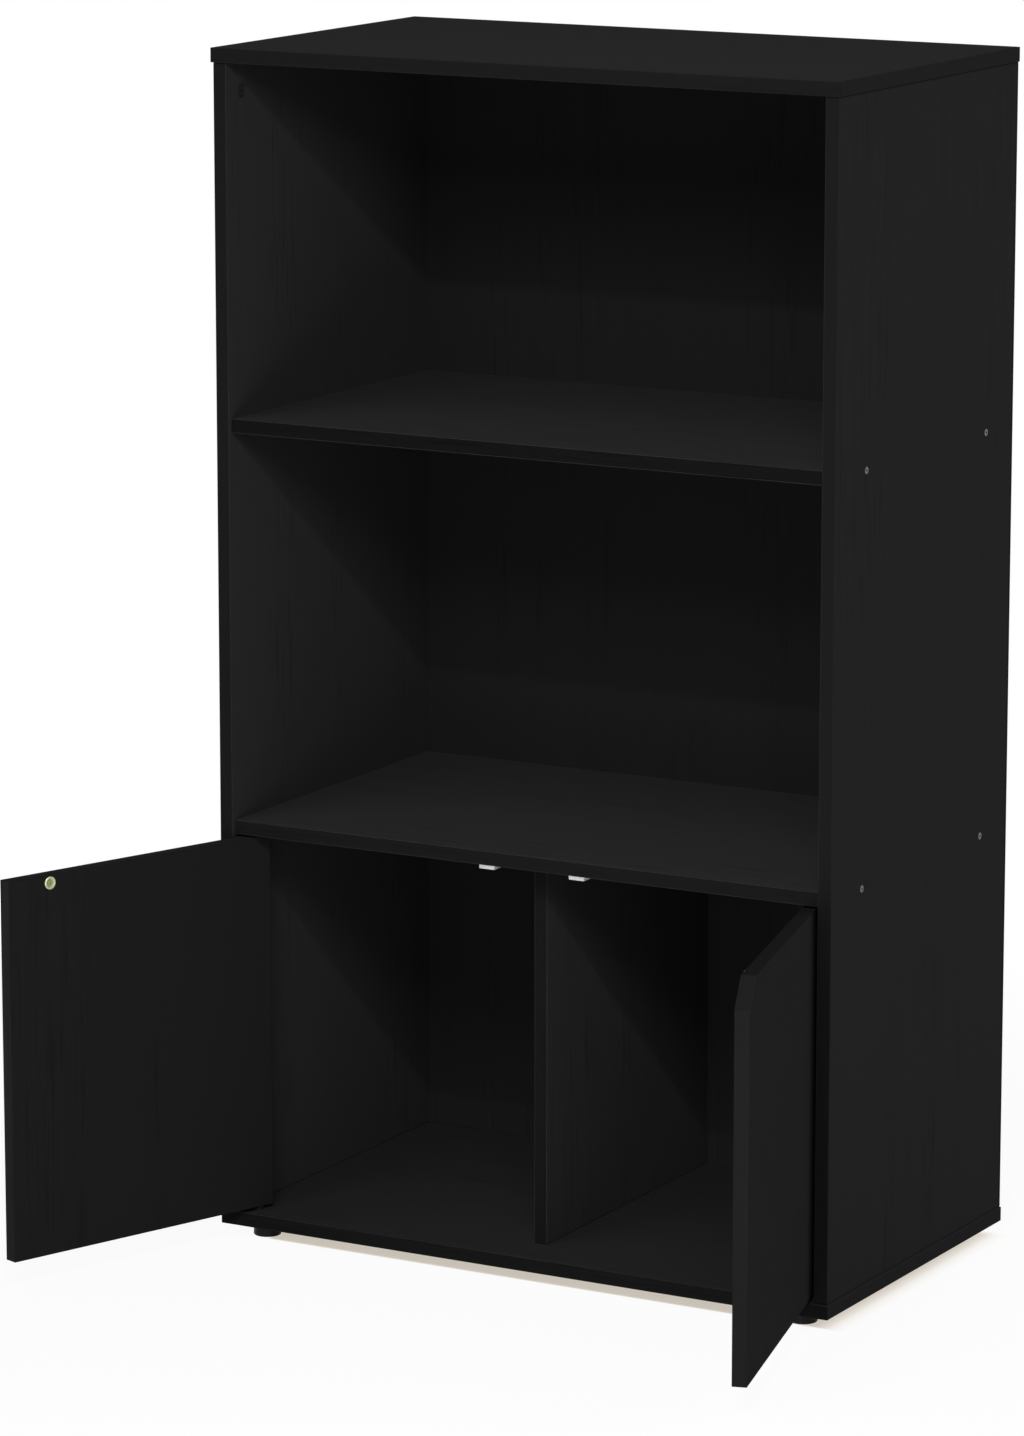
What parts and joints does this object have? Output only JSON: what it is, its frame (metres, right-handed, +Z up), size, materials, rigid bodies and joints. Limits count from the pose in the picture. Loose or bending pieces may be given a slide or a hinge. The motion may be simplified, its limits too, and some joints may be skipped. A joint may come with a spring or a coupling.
{
  "type": "kitchen shelf with cabinet",
  "caption": "Free-standing black laminate kitchen shelf: open bays above an inset-door cabinet, pivot-hung doors standing open, magnetic catches under the shelf, on round glides.",
  "frame": {"origin": "on the floor, under the middle of the plan box that the carcass and its two open doors fill", "axes": "+Z up, +Y from the open front towards the back sheet, +X to the right as seen from the front"},
  "size_m": [0.8515, 0.6994, 1.2456],
  "materials": {
    "black_laminate": "black wood-grain laminate on particle board, satin",
    "black_back_sheet": "thin fibre board, black on the face seen, satin",
    "black_plastic": "moulded, matte",
    "white_plastic": "moulded, satin",
    "ferrite": "sintered ferrite magnet, matte",
    "zinc_plate": "zinc-plated steel, satin",
    "yellow_zinc_plate": "yellow passivated zinc-plated steel, satin",
    "blackened_steel": "blackened steel, satin",
    "beech": "bare fluted beech dowel"
  },
  "bodies": {
    "carcass": {"top_panel": "black_laminate", "bottom_panel": "black_laminate", "left_side_panel": "black_laminate", "right_side_panel": "black_laminate", "upper_shelf": "black_laminate", "middle_shelf": "black_laminate", "cabinet_divider": "black_laminate", "back_panel": "black_back_sheet", "front_left_foot": "black_plastic", "front_right_foot": "black_plastic", "rear_left_foot": "black_plastic", "rear_right_foot": "black_plastic", "left_lower_bush": "black_plastic", "left_upper_bush": "black_plastic", "right_lower_bush": "black_plastic", "right_upper_bush": "black_plastic", "left_catch_housing": "white_plastic", "left_catch_magnet": "ferrite", "left_catch_screw": "yellow_zinc_plate", "right_catch_housing": "white_plastic", "right_catch_magnet": "ferrite", "right_catch_screw": "yellow_zinc_plate", "cam_lock_left_front": "zinc_plate", "cam_lock_left_rear": "zinc_plate", "cam_lock_right_front": "zinc_plate", "cam_lock_right_rear": "zinc_plate", "cam_bolt_left_front": "zinc_plate", "cam_bolt_left_rear": "zinc_plate", "cam_bolt_right_front": "zinc_plate", "cam_bolt_right_rear": "zinc_plate", "upper_shelf_screw_left_front": "zinc_plate", "upper_shelf_screw_left_rear": "zinc_plate", "upper_shelf_screw_right_front": "zinc_plate", "upper_shelf_screw_right_rear": "zinc_plate", "middle_shelf_screw_left_front": "zinc_plate", "middle_shelf_screw_left_rear": "zinc_plate", "middle_shelf_screw_right_front": "zinc_plate", "middle_shelf_screw_right_rear": "zinc_plate", "base_screw_left_front": "zinc_plate", "base_screw_left_rear": "zinc_plate", "base_screw_right_front": "zinc_plate", "base_screw_right_rear": "zinc_plate", "divider_screw_front": "zinc_plate", "divider_screw_rear": "zinc_plate", "divider_dowel_front": "beech", "divider_dowel_rear": "beech", "top_dowel_left_front": "beech", "top_dowel_left_rear": "beech", "top_dowel_right_front": "beech", "top_dowel_right_rear": "beech"},
    "left_door": {"left_door": "black_laminate", "left_door_lower_pin": "blackened_steel", "left_door_upper_pin": "blackened_steel", "left_strike_plate": "yellow_zinc_plate", "left_strike_screw": "yellow_zinc_plate"},
    "right_door": {"right_door": "black_laminate", "right_door_lower_pin": "blackened_steel", "right_door_upper_pin": "blackened_steel", "right_strike_plate": "yellow_zinc_plate", "right_strike_screw": "yellow_zinc_plate"}
  },
  "joints": [
    {"name": "left_door_hinge", "type": "hinge", "parent": "carcass", "child": "left_door", "pos_m": [-0.30904, -0.0377, 0.0322], "axis": [0, 0, -1], "range_deg": [-110, 2]},
    {"name": "right_door_hinge", "type": "hinge", "parent": "carcass", "child": "right_door", "pos_m": [0.33556, -0.0377, 0.0322], "axis": [0, 0, 1], "range_deg": [-105, 7]}
  ]
}
